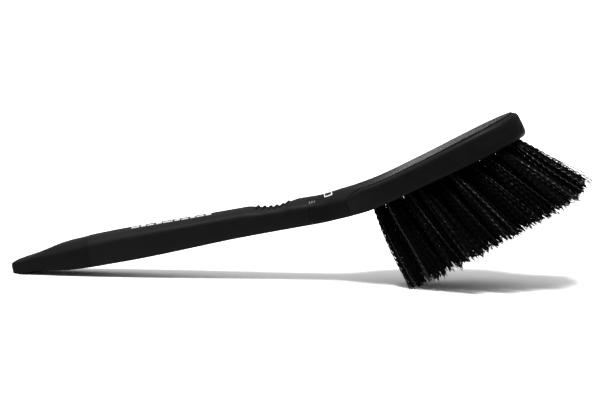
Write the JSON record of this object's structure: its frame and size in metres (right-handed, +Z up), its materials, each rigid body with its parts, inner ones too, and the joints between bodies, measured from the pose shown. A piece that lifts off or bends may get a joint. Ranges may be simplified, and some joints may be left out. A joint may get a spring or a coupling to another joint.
{
  "type": "wheel brush",
  "caption": "Long-handled wheel cleaning brush: oval head angled up from a soft-touch grip with a ribbed thumb rest, dense fanned rows of crimped bristles.",
  "frame": {"origin": "centre of the bounding box in X and Y, on the surface that the brush rests on: the flat end of the butt and the tips of the heel bristles touch Z = 0", "axes": "+X along the brush from the butt to the toe of the head, +Y across the handle, +Z up; the brush lies bristles down, with its handle climbing at 11.6 degrees and its head at 27.5 degrees"},
  "size_m": [0.3602, 0.077, 0.1069],
  "materials": {
    "core_plastic": "satin black moulded polypropylene",
    "grip_rubber": "matte soft-touch rubber, fine grain",
    "bumper_rubber": "matte soft rubber",
    "bristle_fibre": "glossy black crimped synthetic filament",
    "anchor_steel": "galvanised flat wire"
  },
  "bodies": {
    "root": {"anchor_01_1": "anchor_steel", "anchor_01_2": "anchor_steel", "anchor_01_3": "anchor_steel", "anchor_02_1": "anchor_steel", "anchor_02_2": "anchor_steel", "anchor_02_3": "anchor_steel", "anchor_02_4": "anchor_steel", "anchor_03_1": "anchor_steel", "anchor_03_2": "anchor_steel", "anchor_03_3": "anchor_steel", "anchor_03_4": "anchor_steel", "anchor_03_5": "anchor_steel", "anchor_04_1": "anchor_steel", "anchor_04_2": "anchor_steel", "anchor_04_3": "anchor_steel", "anchor_04_4": "anchor_steel", "anchor_04_5": "anchor_steel", "anchor_04_6": "anchor_steel", "anchor_05_1": "anchor_steel", "anchor_05_2": "anchor_steel", "anchor_05_3": "anchor_steel", "anchor_05_4": "anchor_steel", "anchor_05_5": "anchor_steel", "anchor_06_1": "anchor_steel", "anchor_06_2": "anchor_steel", "anchor_06_3": "anchor_steel", "anchor_06_4": "anchor_steel", "anchor_06_5": "anchor_steel", "anchor_06_6": "anchor_steel", "anchor_07_1": "anchor_steel", "anchor_07_2": "anchor_steel", "anchor_07_3": "anchor_steel", "anchor_07_4": "anchor_steel", "anchor_07_5": "anchor_steel", "anchor_08_1": "anchor_steel", "anchor_08_2": "anchor_steel", "anchor_08_3": "anchor_steel", "anchor_08_4": "anchor_steel", "anchor_09_1": "anchor_steel", "anchor_09_2": "anchor_steel", "anchor_09_3": "anchor_steel", "anchor_09_4": "anchor_steel", "anchor_09_5": "anchor_steel", "anchor_10_1": "anchor_steel", "anchor_10_2": "anchor_steel", "anchor_10_3": "anchor_steel", "bristle_row_01": "bristle_fibre", "bristle_row_02": "bristle_fibre", "bristle_row_03": "bristle_fibre", "bristle_row_04": "bristle_fibre", "bristle_row_05": "bristle_fibre", "bristle_row_06": "bristle_fibre", "bristle_row_07": "bristle_fibre", "bristle_row_08": "bristle_fibre", "bristle_row_09": "bristle_fibre", "bristle_row_10": "bristle_fibre", "core": "core_plastic", "grip": "grip_rubber", "head_bumper": "bumper_rubber"}
  },
  "joints": []
}
